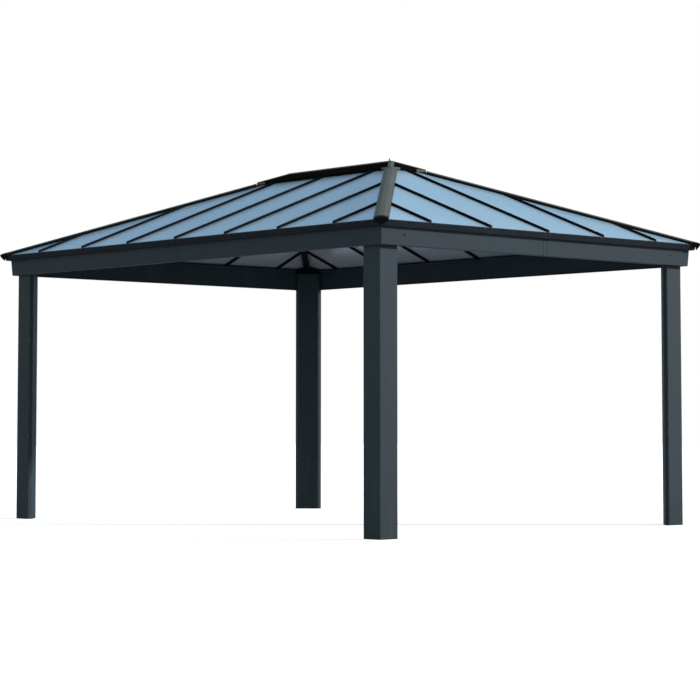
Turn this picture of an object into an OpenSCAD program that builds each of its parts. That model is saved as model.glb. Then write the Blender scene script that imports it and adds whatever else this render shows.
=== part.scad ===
// Freestanding pergola with a hipped roof of translucent panes, 16 x 12 ft class.
// Four five-sided posts stand inside a hollow header frame. Hip rafters and rafters
// carry the panes, battens and hip caps hold them down, and a low cover lifts off
// the ridge to let warm air out.
// Millimetres. The origin is on the ground under the middle of the roof, +Z is up,
// +X runs along the long side and -Y is the front.

/* [Overall] */
// Length of the roof plane from eave line to eave line, along X
roof_len = 4860; // [4300:10:6000]
// Width of the roof plane from eave line to eave line, along Y
roof_wid = 3552; // [3000:8:3900]
// Height of the roof plane at the eave line, top of the panes
eave_h = 2306; // [2150:1:2700]
// Pitch of all four roof slopes, in degrees
pitch = 21; // [16:1:26]

/* [Posts] */
// Width of each post's two outer faces
post_w = 178; // [140:2:210]
// Width of the narrow face beside the post's cut inner corner
post_return = 40; // [24:1:70]
// Wall of the post
post_wall = 3; // [2:0.5:6]
// Thickness of the plate that closes the foot
foot_t = 6; // [4:1:12]
// Amount that each end of the bracket leans in over its height
bracket_taper = 26; // [0:1:40]
// Clearance between the bracket and the hip rafter in it, and the panes over it
bracket_clear = 0.3; // [0.2:0.1:1]

/* [Headers] */
// Drop from the roof plane at the eave line to the underside of the headers
header_drop = 179; // [165:1:230]
// Thickness of the front and back headers at the top
header_t_long = 42; // [36:1:60]
// Thickness of the left and right headers at the top
header_t_short = 62; // [40:1:80]
// Lean of the header's outer face, inwards over its height
header_lean = 12; // [2:1:16]
// Wall of the header
header_wall = 3; // [2:0.5:5]
// Width of the ledge that the rafter feet sit on
ledge_w = 25; // [15:1:40]
// Thickness of the ledge
ledge_t = 3; // [2:0.5:6]
// Width and height of the bead along the header's lower inner edge
bead = 8; // [5:1:12]
// Length of the collar that joins the two halves of a header
splice_w = 36; // [20:1:80]
// Groove between the collar and each half
splice_groove = 3; // [1:0.5:5]
// Length of the tongue inside each half
splice_tongue = 120; // [60:5:200]
// Clearance round the tongue
splice_clear = 0.3; // [0.2:0.1:0.8]

/* [Eave trim] */
// Distance that the trim stands outside the eave line
trim_reach = 9; // [6:1:20]
// Width of the trim at the top
trim_w = 42; // [34:1:60]
// Depth of the trim below the roof plane
trim_drop = 47; // [36:1:70]
// Lean of the trim's outer face, inwards over its depth
trim_lean = 14; // [4:1:18]
// Wall of the trim
trim_wall = 3; // [2:0.5:4]
// Gap from the eave line to the edge of the panes
pane_edge = 6; // [5:0.5:12]

/* [Roof] */
// Spacing of the rafters
bay = 637.5; // [450:0.5:800]
// Least width of the bay beside a corner
corner_bay = 380; // [300:10:450]
// Thickness of a pane
pane_t = 8; // [6:1:12]
// Gap between neighbouring panes
pane_gap = 14; // [8:1:20]
// Least gap from a pane's edge to the hip line
pane_hip_gap = 12; // [8:1:24]
// Width of a rafter
rafter_w = 20; // [16:1:50]
// Depth of a rafter
rafter_h = 22; // [18:1:45]
// Width of a batten
batten_w = 28; // [22:1:40]
// Thickness of a batten
batten_h = 17; // [8:1:20]
// Width of a hip rafter
hip_rafter_w = 52; // [44:1:80]
// Depth of a hip rafter
hip_rafter_h = 54; // [40:1:66]
// Width of the ridge beam
ridge_w = 60; // [44:1:80]
// Depth of the ridge beam
ridge_h = 80; // [60:1:110]

/* [Hip caps] */
// Width of a hip cap
hip_cap_w = 108; // [80:1:120]
// Height of a hip cap above the panes
hip_cap_rise = 24; // [20:0.5:27]
// Extra height of the middle facet of a hip cap
hip_cap_crown = 2; // [0.5:0.5:3]
// Metal thickness of a hip cap
hip_cap_t = 3; // [2:0.5:4]
// Clearance between a hip cap and the batten ends
hip_cap_clear = 0.5; // [0.3:0.1:2]
// Gap between a hip cap's upper end and the corner of the vent
hip_cap_gap = 6; // [2:1:20]
// Distance that the nose stands out past the eave corner
nose_out = 36; // [30:1:60]
// Length of the nose under the hip cap's end, up to the corner of the eave trim
nose_t = 22; // [10:1:22]
// Distance that the nose hangs below the roof plane
nose_drop = 40; // [20:1:60]
// Lean of the nose's outer end, inwards over its depth
nose_lean = 14; // [2:1:20]
// Width of the nose at its lower end
nose_tip_w = 16; // [8:1:40]
// Length of the block that joins the nose to the hip cap, past the eave corner
nose_block = 24; // [10:1:60]

/* [Ridge vent] */
// Reach of the vent cover, from the ridge line to its edge
vent_reach = 202; // [170:1:260]
// Half width of the slot that the panes leave along the ridge
vent_slot = 110; // [80:1:130]
// Height of the cover's top above the roof plane
vent_rise = 29; // [27:1:60]
// Air gap from the panes to the cover's lower edge
vent_gap = 9; // [4:0.5:12]
// Sheet thickness of the cover
vent_t = 3; // [2:0.5:4]
// Thickness of the ribs that carry the cover
vent_rib_t = 20; // [12:1:40]
// Depth of the ribs
vent_rib_h = 14; // [8:1:16]
// Width of the leg of each rib
vent_leg_w = 40; // [24:1:56]
// Distance from the ridge end to the outer ribs
vent_rib_inset = 70; // [50:5:200]
// Width of the strips along the cover's hips and ridge
strip_w = 50; // [40:1:80]
// Thickness of the strips
strip_t = 4; // [2:0.5:6]
// Flat width on top of the ridge strip
strip_flat = 24; // [18:1:30]
// Clearance between the strips where they meet at the ridge ends
strip_clear = 0.3; // [0.2:0.1:1]
// Length of each arm of the corner covers
corner_arm = 110; // [60:5:160]
// Thickness of the corner covers
corner_t = 2; // [1:0.5:3]
// Diameter of the stud at the right end of the ridge
stud_d = 10; // [8:1:16]
// Height of the stud
stud_h = 20; // [10:1:30]
// Distance from the ridge end to the stud
stud_inset = 24; // [12:1:60]

/* [Hidden] */

// sides, counted round from the front
FRONT = 0;
RIGHT = 1;
BACK = 2;
LEFT = 3;

// corners, as signs of X and Y
FRONT_LEFT = [-1, -1];
FRONT_RIGHT = [1, -1];
BACK_RIGHT = [1, 1];
BACK_LEFT = [-1, 1];
CORNERS = [FRONT_LEFT, FRONT_RIGHT, BACK_RIGHT, BACK_LEFT];

// roof plane
half_len = roof_len / 2;
half_wid = roof_wid / 2;
ridge_half = half_len - half_wid;
rise = tan(pitch);
diag = sqrt(2);
hip_rise = rise / diag;
hip_angle = atan(hip_rise);
hip_fall = sin(hip_angle);
pane_tv = pane_t / cos(pitch);
rafter_tv = rafter_h / cos(pitch);
batten_tv = batten_h / cos(pitch);
vent_tv = vent_t / cos(pitch);

// headers
header_z = eave_h - header_drop;
header_u = trim_w - trim_reach;
post_x = half_len - header_u - header_t_short;
post_y = half_wid - header_u - header_t_long;

// the hip rafters start inside the headers' inner corner and rest on the post tops
hip_start = diag * (header_u + max(header_t_long, header_t_short)) + hip_rafter_w / 2;
post_top = hip_rafter_top(hip_start) - hip_rafter_h;

// distance from a pane's edge to the hip line that also clears the thicker header's corner
pane_hip_clear = max(pane_hip_gap, abs(header_t_short - header_t_long) / diag);

// edge of the vent's cover, in from the eave line
vent_u = half_wid - vent_reach;

// a cut that runs past the solid it is taken from
past = 1;

// width left flat where a slope would end in a point
apex_flat = 1;

deep_green = [0.15, 0.19, 0.2];
near_black = [0.06, 0.07, 0.08];
warm_grey = [0.36, 0.36, 0.34];
pane_blue = [0.62, 0.74, 0.82, 0.6];

// height of the roof plane at a distance u in from the eave line
function plane_z(u) = eave_h + rise * u;

// height of the roof plane above the hip line at a distance d in from the eave corner
function hip_z(d) = eave_h + hip_rise * d;

// half length of the roof plane's eave on a side, and its run to the middle
function side_half(side) = side % 2 == 0 ? half_len : half_wid;
function side_run(side) = side % 2 == 0 ? half_wid : half_len;

// thickness of the header on a side
function header_t(side) = side % 2 == 0 ? header_t_long : header_t_short;

// number of rafters on each side of a slope's middle one
function rafter_reach(side) = floor((side_half(side) - corner_bay) / bay);

// side frame: x along the eave, y = u in from the eave line, z up
module on_side(side) {
    rotate([0, 0, 90 * side])
        translate([0, -side_run(side), 0])
            children();
}

// corner frame: x and y run in from the eave corner along the two eaves
module on_corner(corner) {
    mirror([corner[0] > 0 ? 1 : 0, 0, 0])
        mirror([0, corner[1] > 0 ? 1 : 0, 0])
            translate([-half_len, -half_wid, 0])
                children();
}

// extrudes a (u, z) outline along the eave, length centred on the side's middle
module along_eave(length) {
    translate([-length / 2, 0, 0])
        rotate([90, 0, 90])
            linear_extrude(length)
                children();
}

// plan of a slope between two distances from the eave line, kept clear of the hip lines
module slope_plan(side, u0, u1, hip_clear) {
    half = side_half(side) - hip_clear * diag;
    top = min(u1, half - apex_flat / 2);
    polygon([
        [-(half - u0), u0],
        [half - u0, u0],
        [half - top, top],
        [-(half - top), top]
    ]);
}

// slab between two heights over the roof plane, cut to the plan given as a child
module slope_slab(side, low, high) {
    u0 = -nose_out;
    u1 = half_wid + nose_out;
    intersection() {
        along_eave(2 * side_half(side) + 2 * nose_out)
            polygon([
                [u0, plane_z(u0) + low],
                [u1, plane_z(u1) + low],
                [u1, plane_z(u1) + high],
                [u0, plane_z(u0) + high]
            ]);
        linear_extrude(plane_z(u1) + vent_rise + past)
            children();
    }
}

// ---------- posts ----------

// five-sided outline measured from the post's outer corner, inset by a wall
module post_outline(inset) {
    low = inset;
    high = post_w - inset;
    cut = post_return - inset * (diag - 1);
    polygon([[low, low], [high, low], [high, cut], [cut, high], [low, high]]);
}

module on_post(corner) {
    on_corner(corner)
        translate([half_len - post_x, half_wid - post_y, 0])
            children();
}

module post(corner) {
    color(deep_green)
        on_post(corner)
            difference() {
                linear_extrude(post_top)
                    post_outline(0);
                translate([0, 0, foot_t])
                    linear_extrude(post_top)
                        post_outline(post_wall);
            }
}

// block between the post top and the hip rafter, leaning in at both ends; its top stays
// under the panes at the thinner header
module post_bracket(corner) {
    half = post_w / diag;
    outer_u = header_u + min(header_t_long, header_t_short);
    bracket_h = header_top(outer_u) - bracket_clear - post_top;
    difference() {
        intersection() {
            on_post(corner)
                translate([0, 0, post_top])
                    linear_extrude(bracket_h)
                        post_outline(0);
            on_post(corner)
                translate([post_w / 2, post_w / 2, post_top])
                    rotate([0, 0, 45])
                        translate([-post_w, 0, 0])
                            rotate([90, 0, 90])
                                linear_extrude(2 * post_w)
                                    polygon([
                                        [-half, 0],
                                        [half, 0],
                                        [half - bracket_taper, bracket_h],
                                        [bracket_taper - half, bracket_h]
                                    ]);
        }
        hip_rafter_bar(corner, bracket_clear, header_drop);
    }
}

module post_brackets() {
    color(near_black)
        for (corner = CORNERS)
            post_bracket(corner);
}

// ---------- headers ----------

function header_top(u) = plane_z(u) - pane_tv;

// outline of the header in (u, z)
module header_outline(side) {
    inner = header_u + header_t(side);
    polygon([
        [header_u, header_top(header_u)],
        [header_u + header_lean, header_z],
        [inner, header_z],
        [inner, header_top(inner)]
    ]);
}

// the cavity in the header, inset again by a clearance
module header_cavity(side, clear) {
    low_u = header_u + header_lean + header_wall + clear;
    high_u = header_u + header_t(side) - header_wall - clear;
    low_z = header_z + header_wall + clear;
    high_z = header_top(header_u) - header_wall - clear;
    polygon([[low_u, low_z], [high_u, low_z], [high_u, high_z], [low_u, high_z]]);
}

// plan of a header with mitred ends
module header_plan(side) {
    half = side_half(side) - header_u;
    inner_x = half - header_t(side + 1);
    inner_u = header_u + header_t(side);
    lean_u = header_u + header_lean;
    polygon([
        [-half, header_u],
        [half, header_u],
        [half - header_lean, lean_u],
        [inner_x, inner_u],
        [-inner_x, inner_u],
        [header_lean - half, lean_u]
    ]);
}

// ledge and bead on the header's inner face, between the posts
module header_trims(side) {
    inner = header_u + header_t(side);
    seat = inner + ledge_w;
    under = pane_tv + rafter_tv;
    between = 2 * (side_half(side) - header_u - header_t(side + 1) - post_w) - 2 * past;
    along_eave(between) {
        polygon([
            [inner - past, plane_z(inner - past) - under],
            [seat, plane_z(seat) - under],
            [seat, plane_z(seat) - under - ledge_t],
            [inner - past, plane_z(inner - past) - under - ledge_t]
        ]);
        polygon([
            [inner - past, header_z],
            [inner + bead, header_z],
            [inner + bead, header_z + bead / 2],
            [inner, header_z + bead],
            [inner - past, header_z + bead]
        ]);
    }
}

module header(side) {
    gap = splice_w + 2 * splice_groove;
    reach = 2 * side_half(side);
    color(deep_green)
        on_side(side)
            difference() {
                union() {
                    intersection() {
                        along_eave(reach)
                            header_outline(side);
                        linear_extrude(eave_h + header_drop)
                            header_plan(side);
                    }
                    header_trims(side);
                }
                along_eave(reach)
                    header_cavity(side, 0);
                translate([-gap / 2, 0, 0])
                    cube([gap, 2 * header_drop, 2 * eave_h]);
            }
}

// collar with a tongue in each half of the header
module header_splice(side) {
    on_side(side) {
        along_eave(splice_w)
            header_outline(side);
        along_eave(splice_w + 2 * splice_groove + 2 * splice_tongue)
            header_cavity(side, splice_clear);
    }
}

module header_splices() {
    color(deep_green)
        for (side = [FRONT : LEFT])
            header_splice(side);
}

// ---------- eave trim ----------

module eave_trim(side) {
    lip = pane_edge - past;
    reach = 2 * side_half(side) + 4 * trim_reach;
    floor_z = eave_h - trim_drop;
    color(near_black)
        on_side(side)
            intersection() {
                along_eave(reach)
                    difference() {
                        polygon([
                            [-trim_reach, plane_z(-trim_reach)],
                            [trim_lean - trim_reach, floor_z],
                            [header_face(floor_z), floor_z],
                            [header_u, header_top(header_u)],
                            [lip, header_top(lip)],
                            [lip, plane_z(lip)]
                        ]);
                        translate([trim_lean - trim_reach + trim_wall, floor_z + trim_wall])
                            square([
                                trim_w - trim_lean - 2 * trim_wall,
                                trim_drop - pane_tv - 3 * trim_wall
                            ]);
                    }
                translate([0, 0, floor_z - past])
                    linear_extrude(trim_drop + header_drop)
                        slope_plan(side, -trim_reach, header_u + header_lean, 0);
            }
}

// distance in from the eave line of the header's outer face at a height
function header_face(z) =
    header_u + header_lean * (header_top(header_u) - z) / (header_top(header_u) - header_z);

// ---------- rafters, panes and battens ----------

function hip_rafter_top(d) = hip_z(d) - pane_tv - hip_rise * hip_rafter_w / 2;

// sloping bar under the hip, grown all round by a clearance and upwards by a height
module hip_rafter_bar(corner, clear, grow_up) {
    end = diag * half_wid + hip_rafter_w;
    side = hip_rafter_w / 2;
    on_corner(corner)
        rotate([0, 0, 45])
            translate([0, side + clear, 0])
                rotate([90, 0, 0])
                    linear_extrude(hip_rafter_w + 2 * clear)
                        polygon([
                            [hip_start - clear, hip_rafter_top(hip_start) - hip_rafter_h - clear],
                            [end, hip_rafter_top(end) - hip_rafter_h - clear],
                            [end, hip_rafter_top(end) + grow_up],
                            [hip_start - clear, hip_rafter_top(hip_start) + grow_up]
                        ]);
}

module hip_rafter(corner) {
    color(near_black)
        intersection() {
            hip_rafter_bar(corner, 0, 0);
            on_corner(corner)
                linear_extrude(2 * eave_h)
                    difference() {
                        square([half_len, half_wid]);
                        translate([half_wid, half_wid - ridge_w / 2])
                            square([half_len, half_wid]);
                    }
        }
}

ridge_beam_top = plane_z(half_wid) - pane_tv - rise * ridge_w / 2;

module ridge_beam() {
    color(near_black)
        translate([-ridge_half, -ridge_w / 2, ridge_beam_top - ridge_h])
            cube([2 * ridge_half, ridge_w, ridge_h]);
}

// the rafters of a slope; the middle of each is a whole number of bays off the centre
module rafters(side) {
    start = header_u + header_t(side);
    color(near_black)
        on_side(side)
            slope_slab(side, -pane_tv - rafter_tv, -pane_tv)
                for (k = [-rafter_reach(side) : rafter_reach(side)])
                    intersection() {
                        translate([k * bay - rafter_w / 2, 0])
                            square([rafter_w, half_wid]);
                        slope_plan(side, start, half_wid - ridge_w / 2, hip_rafter_w / 2);
                    }
}

module panes(side) {
    n = rafter_reach(side);
    color(pane_blue)
        on_side(side)
            slope_slab(side, -pane_tv, 0)
                difference() {
                    slope_plan(side, pane_edge, half_wid - vent_slot, pane_hip_clear);
                    for (k = [-n : n])
                        translate([k * bay - pane_gap / 2, 0])
                            square([pane_gap, half_len]);
                }
}

module battens(side) {
    color(near_black)
        on_side(side)
            slope_slab(side, 0, batten_tv)
                for (k = [-rafter_reach(side) : rafter_reach(side)])
                    intersection() {
                        translate([k * bay - batten_w / 2, 0])
                            square([batten_w, half_wid]);
                        slope_plan(
                            side,
                            pane_edge,
                            vent_u - corner_t - hip_cap_clear,
                            hip_cap_w / 2 + hip_cap_clear
                        );
                    }
}

// ---------- hip caps ----------

// fall of the roof plane below the hip line, square to the hip, at a distance a across
function hip_fall_at(a) = -hip_fall * abs(a);

// places an outline drawn square to the hip, x across and y up, from d0 to d1 along it
module along_hip(corner, d0, d1) {
    on_corner(corner)
        translate([0, 0, eave_h])
            rotate([0, 0, 45])
                rotate([0, -hip_angle, 0])
                    translate([d0 / cos(hip_angle), 0, 0])
                        rotate([90, 0, 90])
                            linear_extrude((d1 - d0) / cos(hip_angle))
                                children();
}

// places an outline drawn along the hip, x along and y up, over a width across it
module across_hip(corner, width) {
    on_corner(corner)
        translate([0, 0, eave_h])
            rotate([0, 0, 45])
                rotate([0, -hip_angle, 0])
                    translate([0, width / 2, 0])
                        rotate([90, 0, 0])
                            linear_extrude(width)
                                children();
}

// one edge line of the hip cap, from its left to its right side, drawn in by a thickness
function hip_cap_line(inset) = [
    [inset - hip_cap_w / 2, hip_fall_at(hip_cap_w / 2 - inset)],
    [inset - hip_cap_w / 2, hip_fall_at(hip_cap_w / 2) + hip_cap_rise - inset],
    [-hip_cap_w / 6, hip_fall_at(hip_cap_w / 6) + hip_cap_rise + hip_cap_crown - inset],
    [hip_cap_w / 6, hip_fall_at(hip_cap_w / 6) + hip_cap_rise + hip_cap_crown - inset],
    [hip_cap_w / 2 - inset, hip_fall_at(hip_cap_w / 2) + hip_cap_rise - inset],
    [hip_cap_w / 2 - inset, hip_fall_at(hip_cap_w / 2 - inset)]
];

// list of points in reverse order
function reversed(points) = [for (i = [len(points) - 1 : -1 : 0]) points[i]];

module hip_cap(corner) {
    upper = diag * (vent_u - corner_t) - hip_cap_gap;
    color(warm_grey)
        along_hip(corner, nose_block, upper)
            polygon(concat(hip_cap_line(0), reversed(hip_cap_line(hip_cap_t))));
}

// closed end of a hip cap with a pointed nose over the corner of the eave trim
module hip_nose(corner) {
    along_hip(corner, -nose_out, nose_block)
        polygon(concat(hip_cap_line(0), [[0, 0]]));
    intersection() {
        along_hip(corner, -nose_out, nose_t - nose_out)
            polygon([
                [-hip_cap_w / 2, hip_fall_at(hip_cap_w / 2)],
                [-hip_cap_w / 2, hip_fall_at(hip_cap_w / 2) + hip_cap_rise],
                [hip_cap_w / 2, hip_fall_at(hip_cap_w / 2) + hip_cap_rise],
                [hip_cap_w / 2, hip_fall_at(hip_cap_w / 2)],
                [nose_tip_w / 2, -nose_drop],
                [-nose_tip_w / 2, -nose_drop]
            ]);
        across_hip(corner, hip_cap_w + past)
            polygon([
                [-2 * nose_out, hip_cap_rise + hip_cap_crown + nose_out],
                [-nose_out, 0],
                [nose_lean - nose_out, -nose_drop],
                [nose_lean - nose_out, -2 * nose_drop],
                [2 * nose_out, -2 * nose_drop],
                [2 * nose_out, hip_cap_rise + hip_cap_crown + nose_out]
            ]);
    }
}

module hip_noses() {
    color(near_black)
        for (corner = CORNERS)
            hip_nose(corner);
}

// ---------- ridge vent ----------

// top of the vent at the ridge
vent_top = plane_z(half_wid) + vent_rise;

// folded sheet over one slope of the vent: the sloping top and its turned-down edge
module vent_cover(side) {
    inner = vent_u + vent_t;
    lower = plane_z(vent_u) + vent_gap;
    color(near_black)
        on_side(side)
            intersection() {
                along_eave(2 * side_half(side))
                    polygon([
                        [vent_u, lower],
                        [inner, lower],
                        [inner, plane_z(inner) + vent_rise - vent_tv],
                        [half_wid, vent_top - vent_tv],
                        [half_wid, vent_top],
                        [vent_u, plane_z(vent_u) + vent_rise]
                    ]);
                linear_extrude(vent_top + past)
                    slope_plan(side, vent_u, half_wid, 0);
            }
}

// underside of the cover at a distance y from the ridge line
function vent_under(y) = vent_top - vent_tv - rise * y;

// chevron on a leg that stands on the ridge beam
module vent_rib(x) {
    tip = vent_reach - vent_t;
    leg = vent_leg_w / 2;
    translate([x - vent_rib_t / 2, 0, 0])
        rotate([90, 0, 90])
            linear_extrude(vent_rib_t)
                polygon([
                    [-tip, vent_under(tip)],
                    [0, vent_under(0)],
                    [tip, vent_under(tip)],
                    [tip, vent_under(tip) - vent_rib_h],
                    [leg, vent_under(leg) - vent_rib_h],
                    [leg, ridge_beam_top],
                    [-leg, ridge_beam_top],
                    [-leg, vent_under(leg) - vent_rib_h],
                    [-tip, vent_under(tip) - vent_rib_h]
                ]);
}

module vent_ribs() {
    outer = ridge_half - vent_rib_inset;
    color(near_black)
        for (x = [-outer, 0, outer])
            vent_rib(x);
}

// angle plates that wrap the corners of the cover's edge
module vent_corners() {
    lower = plane_z(vent_u) + vent_gap;
    color(warm_grey)
        for (corner = CORNERS)
            on_corner(corner)
                translate([vent_u - corner_t, vent_u - corner_t, lower])
                    linear_extrude(vent_rise - vent_gap - rise * corner_t - strip_clear)
                        difference() {
                            square(corner_arm);
                            translate([corner_t, corner_t])
                                square(corner_arm);
                        }
}

// folded strips over the four hips of the cover
module vent_hip_strips() {
    fall = hip_fall_at(strip_w / 2);
    corner_u = vent_u - corner_t;
    color(warm_grey)
        for (corner = CORNERS)
            intersection() {
                translate([0, 0, vent_rise])
                    along_hip(corner, diag * corner_u, diag * half_wid)
                        polygon([
                            [-strip_w / 2, fall],
                            [0, 0],
                            [strip_w / 2, fall],
                            [strip_w / 2, fall + strip_t],
                            [0, strip_t],
                            [-strip_w / 2, fall + strip_t]
                        ]);
                on_corner(corner)
                    translate([corner_u, corner_u, 0])
                        linear_extrude(2 * eave_h)
                            square(half_wid - strip_clear - corner_u);
            }
}

module vent_ridge_strip() {
    fall = -rise * strip_w / 2;
    color(warm_grey)
        translate([-ridge_half, 0, vent_top])
            rotate([90, 0, 90])
                linear_extrude(2 * ridge_half)
                    polygon([
                        [-strip_w / 2, fall],
                        [0, 0],
                        [strip_w / 2, fall],
                        [strip_w / 2, fall + strip_t],
                        [strip_flat / 2, strip_t],
                        [-strip_flat / 2, strip_t],
                        [-strip_w / 2, fall + strip_t]
                    ]);
}

module ridge_stud() {
    color(warm_grey)
        translate([ridge_half - stud_inset, 0, vent_top + strip_t])
            cylinder(d = stud_d, h = stud_h, $fn = 32);
}

// ---------- nodes ----------

post(FRONT_LEFT);  // post_front_left
post(FRONT_RIGHT);  // post_front_right
post(BACK_RIGHT);  // post_back_right
post(BACK_LEFT);  // post_back_left
post_brackets();
header(FRONT);  // header_front
header(RIGHT);  // header_right
header(BACK);  // header_back
header(LEFT);  // header_left
header_splices();
eave_trim(FRONT);  // eave_trim_front
eave_trim(RIGHT);  // eave_trim_right
eave_trim(BACK);  // eave_trim_back
eave_trim(LEFT);  // eave_trim_left
hip_rafter(FRONT_LEFT);  // hip_rafter_front_left
hip_rafter(FRONT_RIGHT);  // hip_rafter_front_right
hip_rafter(BACK_RIGHT);  // hip_rafter_back_right
hip_rafter(BACK_LEFT);  // hip_rafter_back_left
ridge_beam();
rafters(FRONT);  // rafters_front
rafters(RIGHT);  // rafters_right
rafters(BACK);  // rafters_back
rafters(LEFT);  // rafters_left
panes(FRONT);  // panes_front
panes(RIGHT);  // panes_right
panes(BACK);  // panes_back
panes(LEFT);  // panes_left
battens(FRONT);  // battens_front
battens(RIGHT);  // battens_right
battens(BACK);  // battens_back
battens(LEFT);  // battens_left
hip_cap(FRONT_LEFT);  // hip_cap_front_left
hip_cap(FRONT_RIGHT);  // hip_cap_front_right
hip_cap(BACK_RIGHT);  // hip_cap_back_right
hip_cap(BACK_LEFT);  // hip_cap_back_left
hip_noses();
vent_cover(FRONT);  // vent_cover_front
vent_cover(RIGHT);  // vent_cover_right
vent_cover(BACK);  // vent_cover_back
vent_cover(LEFT);  // vent_cover_left
vent_ribs();
vent_corners();
vent_hip_strips();
vent_ridge_strip();
ridge_stud();
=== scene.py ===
"""Freestanding pergola with a hipped roof of twin-wall panes, finished for show.

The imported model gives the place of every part. The pieces made here stand in the same
places with eased edges, screws, gaskets and painted, worn and dusty surfaces. Metres,
+Z up, +X along the long side, -Y is the front.
"""

from __future__ import annotations

import logging
import math
from dataclasses import dataclass, field
from enum import Enum

import bmesh
import bpy
import numpy as np
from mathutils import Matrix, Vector


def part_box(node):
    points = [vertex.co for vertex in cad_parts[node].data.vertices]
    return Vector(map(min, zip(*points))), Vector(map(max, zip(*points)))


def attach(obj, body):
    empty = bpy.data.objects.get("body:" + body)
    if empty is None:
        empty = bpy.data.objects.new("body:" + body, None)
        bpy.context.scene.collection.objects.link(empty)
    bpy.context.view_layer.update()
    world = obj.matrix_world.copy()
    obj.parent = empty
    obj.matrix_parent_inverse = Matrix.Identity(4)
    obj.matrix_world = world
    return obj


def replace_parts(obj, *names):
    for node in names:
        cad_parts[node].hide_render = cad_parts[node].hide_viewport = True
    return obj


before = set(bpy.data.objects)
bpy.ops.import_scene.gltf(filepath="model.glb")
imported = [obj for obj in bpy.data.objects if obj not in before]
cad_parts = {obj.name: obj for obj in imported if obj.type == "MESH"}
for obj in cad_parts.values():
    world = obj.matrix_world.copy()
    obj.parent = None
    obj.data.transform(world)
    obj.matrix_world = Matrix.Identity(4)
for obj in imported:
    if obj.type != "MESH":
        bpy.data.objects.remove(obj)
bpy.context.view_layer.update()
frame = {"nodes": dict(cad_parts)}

LOG = logging.getLogger("pergola")
BODY = "root"
DIAG = math.sqrt(2.0)
EDGE_MARK = "edge"


class Side(Enum):
    """Sides of the roof, counted round from the front in quarter turns."""

    FRONT = 0
    RIGHT = 1
    BACK = 2
    LEFT = 3


class Corner(Enum):
    """Corners of the roof, as signs of X and Y."""

    FRONT_LEFT = (-1, -1)
    FRONT_RIGHT = (1, -1)
    BACK_RIGHT = (1, 1)
    BACK_LEFT = (-1, 1)


class Slot(Enum):
    """Material slots of the record."""

    FRAME = "frame_paint"
    TRIM = "trim_paint"
    DARK = "dark_fittings"
    PANE = "roof_panes"
    CAP = "cap_metal"
    NOSE = "nose_plastic"
    VENT = "vent_paint"


class FluteAxis(Enum):
    """Direction across the flutes of a pane."""

    ACROSS_X = 0
    ACROSS_Y = 1


# ---------- shapes worked out with arrays ----------


def eased(outline: list[tuple[float, float]], radius: float, steps: int = 4) -> tuple[np.ndarray, np.ndarray]:
    """Rounds every corner of a closed outline.

    Each corner P is cut back by the radius, but by no more than 0.45 of its shorter edge,
    and bent through as the parabola (1-t)^2 A + 2t(1-t) P + t^2 B.

    Args:
        outline: Corner points in order.
        radius: Length cut back along both edges, in metres.
        steps: Points on each bend.

    Returns:
        The new points, and a mark for each that is 1 in the middle of a bend.
    """
    p = np.asarray(outline, float)
    back = np.roll(p, 1, axis=0) - p
    ahead = np.roll(p, -1, axis=0) - p
    len_back = np.linalg.norm(back, axis=1, keepdims=True)
    len_ahead = np.linalg.norm(ahead, axis=1, keepdims=True)
    cut = np.minimum(radius, 0.45 * np.minimum(len_back, len_ahead))
    a = p + back / len_back * cut
    b = p + ahead / len_ahead * cut
    t = np.linspace(0.0, 1.0, steps)[None, :, None]
    bend = (1 - t) ** 2 * a[:, None] + 2 * t * (1 - t) * p[:, None] + t**2 * b[:, None]
    mark = np.repeat(np.sin(np.pi * t[:, :, 0]), len(p), axis=0)
    return bend.reshape(-1, 2), mark.reshape(-1)


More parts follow.
